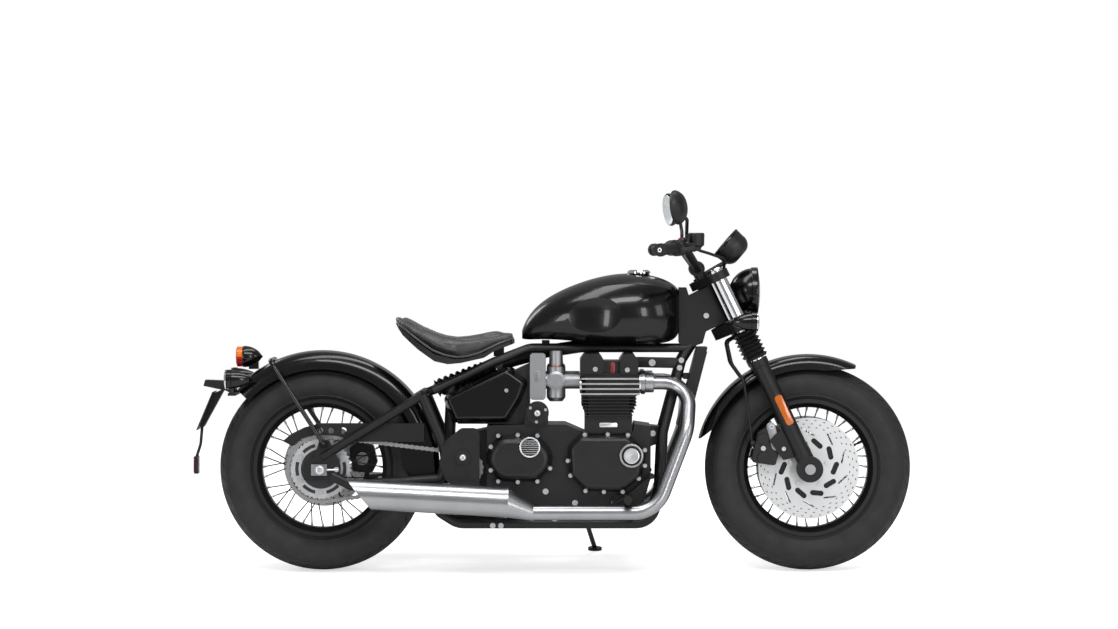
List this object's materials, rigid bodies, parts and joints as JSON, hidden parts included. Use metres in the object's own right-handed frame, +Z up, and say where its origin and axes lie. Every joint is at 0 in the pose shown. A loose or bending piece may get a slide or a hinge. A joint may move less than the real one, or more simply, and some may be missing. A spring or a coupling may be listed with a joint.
{
  "type": "bobber motorcycle",
  "caption": "Twin-cylinder bobber motorcycle with a floating solo saddle, wire wheels, slash-cut mufflers and a side stand, leaning as parked.",
  "frame": {"origin": "under the middle of the machine's box, on the ground it stands on", "axes": "+X forwards, +Y to the machine's left, the side that it leans to, +Z up"},
  "size_m": [2.214, 0.8203, 1.2075],
  "materials": {
    "tyre_rubber": "moulded",
    "black_wheel": "gloss black powder coat",
    "disc_steel": "drilled and ground",
    "chain_steel": "oiled steel",
    "fork_chrome": "hard chrome",
    "satin_black": "satin black",
    "gaiter_rubber": "ribbed rubber",
    "axle_steel": "machined steel",
    "caliper_black": "black anodised",
    "gloss_black": "gloss black lacquer",
    "control_plastic": "moulded",
    "mirror_shell": "satin black",
    "lamp_glass": "clear",
    "lens_red": "red and amber",
    "shock_black": "satin black",
    "engine_black": "wrinkle black",
    "head_alloy": "black with polished fin edges",
    "body_alloy": "cast, satin",
    "radiator_core": "black core",
    "exhaust_steel": "brushed stainless",
    "cap_chrome": "polished",
    "seat_leather": "grained black"
  },
  "bodies": {
    "chassis": {"airbox": "control_plastic", "cam_cover": "engine_black", "chain": "chain_steel", "chain_guard": "satin_black", "crankcase": "engine_black", "cylinder_block": "engine_black", "cylinder_head": "head_alloy", "engine_covers": "engine_black", "filler_cap": "cap_chrome", "footrests": "satin_black", "frame": "satin_black", "fuel_tank": "gloss_black", "header_pipes": "exhaust_steel", "mufflers": "exhaust_steel", "plate_bracket": "satin_black", "radiator": "radiator_core", "rear_axle": "axle_steel", "rear_caliper": "caliper_black", "rear_fender": "gloss_black", "rear_indicators": "gloss_black", "rear_shock": "shock_black", "seat_pad": "seat_leather", "seat_pan": "satin_black", "side_covers": "gloss_black", "swing_cage": "satin_black", "tail_lens": "lens_red", "tail_light": "gloss_black", "throttle_bodies": "body_alloy"},
    "steering": {"yokes": "satin_black", "fork_tubes": "fork_chrome", "fork_sliders": "satin_black", "fork_gaiters": "gaiter_rubber", "front_axle": "axle_steel", "front_calipers": "caliper_black", "front_fender": "gloss_black", "handlebar": "satin_black", "grips": "gaiter_rubber", "bar_controls": "control_plastic", "mirrors": "mirror_shell", "instrument": "control_plastic", "headlight": "gloss_black", "headlight_lens": "lamp_glass", "front_indicators": "gloss_black", "brake_hoses": "gaiter_rubber"},
    "front_wheel": {"front_tyre": "tyre_rubber", "front_rim": "black_wheel", "front_discs": "disc_steel"},
    "rear_wheel": {"rear_tyre": "tyre_rubber", "rear_rim": "black_wheel", "rear_sprocket": "chain_steel", "rear_disc": "disc_steel"},
    "side_stand": {"side_stand": "satin_black"}
  },
  "joints": [
    {"name": "steer", "type": "hinge", "parent": "chassis", "child": "steering", "pos_m": [0.51884, -0.02941, 0.75224], "axis": [-0.4289, 0.1257, 0.8946], "range_deg": [-32, 32]},
    {"name": "front_wheel_spin", "type": "hinge", "parent": "steering", "child": "front_wheel", "pos_m": [0.789, -0.09074, 0.31581], "axis": [0, 0.9903, -0.1392], "continuous": true},
    {"name": "rear_wheel_spin", "type": "hinge", "parent": "chassis", "child": "rear_wheel", "pos_m": [-0.711, -0.09074, 0.31581], "axis": [0, 0.9903, -0.1392], "continuous": true},
    {"name": "side_stand_fold", "type": "hinge", "parent": "chassis", "child": "side_stand", "pos_m": [0.099, 0.02789, 0.13958], "axis": [-0.044, 0.7502, 0.6597], "range_deg": [0, 89.34]}
  ]
}
